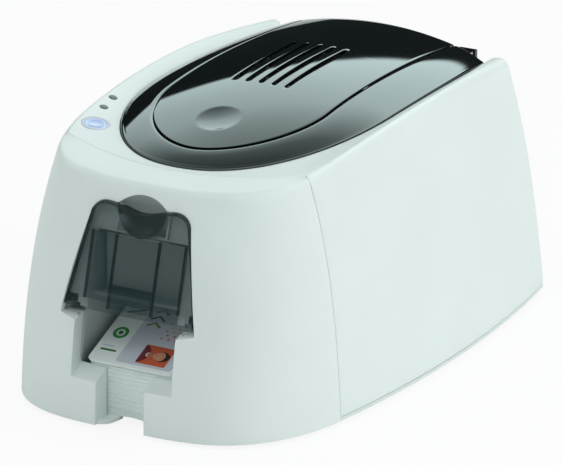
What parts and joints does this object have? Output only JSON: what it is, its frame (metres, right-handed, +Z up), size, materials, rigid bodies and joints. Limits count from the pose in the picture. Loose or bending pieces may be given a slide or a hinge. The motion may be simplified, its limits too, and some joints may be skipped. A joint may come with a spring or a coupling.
{
  "type": "id card printer",
  "caption": "Desktop printer for plastic ID cards with a hinged black lid, a smoked feeder door, an output hopper and a card transport inside.",
  "frame": {"origin": "centre of the bounding box in plan, at the level of the soles of the feet", "axes": "+X to the right seen from the front, +Y to the rear (the card slot faces -Y), +Z up"},
  "size_m": [0.2048, 0.3195, 0.1614],
  "materials": {
    "case_plastic": "satin moulded ABS",
    "lid_gloss": "gloss black",
    "door_smoke": "smoked translucent",
    "black_plastic": "matt moulded",
    "steel": "plated sheet and bar",
    "rubber": "matt",
    "card_white": "smooth PVC",
    "card_print": "printed PVC",
    "button_light": "lit pale blue",
    "ring_grey": "satin",
    "lens_grey": "tinted",
    "board": "solder mask",
    "bronze": "sintered",
    "pulley_plastic": "acetal",
    "ribbon": "film",
    "cleaner_blue": "tacky sleeve"
  },
  "bodies": {
    "root": {"base_pan": "case_plastic", "front_cover": "case_plastic", "left_side_panel": "case_plastic", "right_side_panel": "case_plastic", "rear_panel": "case_plastic", "top_rim": "case_plastic", "lid_hinge_pins": "steel", "door_hinge_pins": "steel", "card_bay": "case_plastic", "output_tray": "case_plastic", "printed_cards": "card_white", "top_card": "card_print", "blank_cards": "card_white", "button_ring": "ring_grey", "indicator_lenses": "lens_grey", "control_board": "board", "left_chassis_plate": "steel", "right_chassis_plate": "steel", "chassis_tie_rods": "steel", "roller_bushes": "bronze", "drive_motor": "steel", "drive_belt": "rubber", "ribbon_film": "ribbon", "ribbon_motor": "steel", "card_sensor": "black_plastic", "main_board": "board", "usb_socket": "steel", "power_socket": "black_plastic", "feet": "rubber", "case_screws": "steel"},
    "lid": {"lid_shell": "lid_gloss", "lid_insert": "lid_gloss", "lid_liner": "black_plastic", "print_head": "black_plastic", "head_bracket": "steel"},
    "door": {"feeder_door": "door_smoke"},
    "button": {"power_button": "button_light"},
    "platen": {"platen_roller": "rubber", "platen_pulley": "pulley_plastic"},
    "feed": {"feed_roller": "rubber", "feed_pulley": "pulley_plastic"},
    "front_drive": {"front_drive_roller": "rubber", "front_pulley": "pulley_plastic"},
    "rear_drive": {"rear_drive_roller": "rubber", "rear_pulley": "pulley_plastic"},
    "motor_shaft": {"motor_pulley": "pulley_plastic"},
    "front_pinch": {"front_pinch_roller": "steel"},
    "rear_pinch": {"rear_pinch_roller": "steel"},
    "cleaner": {"cleaning_roller": "cleaner_blue"},
    "takeup": {"ribbon_takeup_spool": "ribbon", "takeup_gear": "pulley_plastic"},
    "supply": {"ribbon_supply_spool": "ribbon"},
    "ribbon_drive": {"ribbon_pinion": "pulley_plastic"},
    "weight": {"card_weight": "steel"}
  },
  "joints": [
    {"name": "lid_hinge", "type": "hinge", "parent": "root", "child": "lid", "pos_m": [0, 0.126, 0.143], "axis": [-1, 0, 0], "range_deg": [0, 70]},
    {"name": "door_hinge", "type": "hinge", "parent": "root", "child": "door", "pos_m": [0, -0.14399, 0.066], "axis": [1, 0, 0], "range_deg": [0, 82]},
    {"name": "power_press", "type": "slide", "parent": "root", "child": "button", "axis": [0, 0, -1], "range_m": [0, 0.0012], "stiffness_N_per_m": 300},
    {"name": "weight_lift", "type": "slide", "parent": "root", "child": "weight", "axis": [0, 0, 1], "range_m": [0, 0.006]},
    {"name": "platen_spin", "type": "hinge", "parent": "root", "child": "platen", "pos_m": [0, 0.026, 0.064], "axis": [1, 0, 0], "continuous": true},
    {"name": "feed_spin", "type": "hinge", "parent": "root", "child": "feed", "pos_m": [0, -0.06, 0.064], "axis": [1, 0, 0], "continuous": true},
    {"name": "front_drive_spin", "type": "hinge", "parent": "root", "child": "front_drive", "pos_m": [0, -0.02, 0.064], "axis": [1, 0, 0], "continuous": true},
    {"name": "rear_drive_spin", "type": "hinge", "parent": "root", "child": "rear_drive", "pos_m": [0, 0.068, 0.064], "axis": [1, 0, 0], "continuous": true},
    {"name": "motor_spin", "type": "hinge", "parent": "root", "child": "motor_shaft", "pos_m": [0, -0.004, 0.036], "axis": [1, 0, 0], "continuous": true},
    {"name": "front_pinch_spin", "type": "hinge", "parent": "root", "child": "front_pinch", "pos_m": [0, -0.02, 0.07586], "axis": [1, 0, 0], "continuous": true},
    {"name": "rear_pinch_spin", "type": "hinge", "parent": "root", "child": "rear_pinch", "pos_m": [0, 0.068, 0.07586], "axis": [1, 0, 0], "continuous": true},
    {"name": "cleaner_spin", "type": "hinge", "parent": "root", "child": "cleaner", "pos_m": [0, -0.038, 0.07586], "axis": [1, 0, 0], "continuous": true},
    {"name": "takeup_spin", "type": "hinge", "parent": "root", "child": "takeup", "pos_m": [0, -0.028, 0.107], "axis": [1, 0, 0], "continuous": true},
    {"name": "supply_spin", "type": "hinge", "parent": "root", "child": "supply", "pos_m": [0, 0.076, 0.106], "axis": [1, 0, 0], "continuous": true},
    {"name": "pinion_spin", "type": "hinge", "parent": "root", "child": "ribbon_drive", "pos_m": [0, -0.01442, 0.09342], "axis": [1, 0, 0], "continuous": true}
  ],
  "couplings": [
    {"joint": "feed_spin", "follows": "platen_spin", "ratio": 1},
    {"joint": "front_drive_spin", "follows": "platen_spin", "ratio": 1},
    {"joint": "rear_drive_spin", "follows": "platen_spin", "ratio": 1},
    {"joint": "motor_spin", "follows": "platen_spin", "ratio": 1.4},
    {"joint": "front_pinch_spin", "follows": "platen_spin", "ratio": -1.2},
    {"joint": "rear_pinch_spin", "follows": "platen_spin", "ratio": -1.2},
    {"joint": "cleaner_spin", "follows": "platen_spin", "ratio": -1.2},
    {"joint": "supply_spin", "follows": "takeup_spin", "ratio": 0.7647},
    {"joint": "pinion_spin", "follows": "takeup_spin", "ratio": -3}
  ]
}
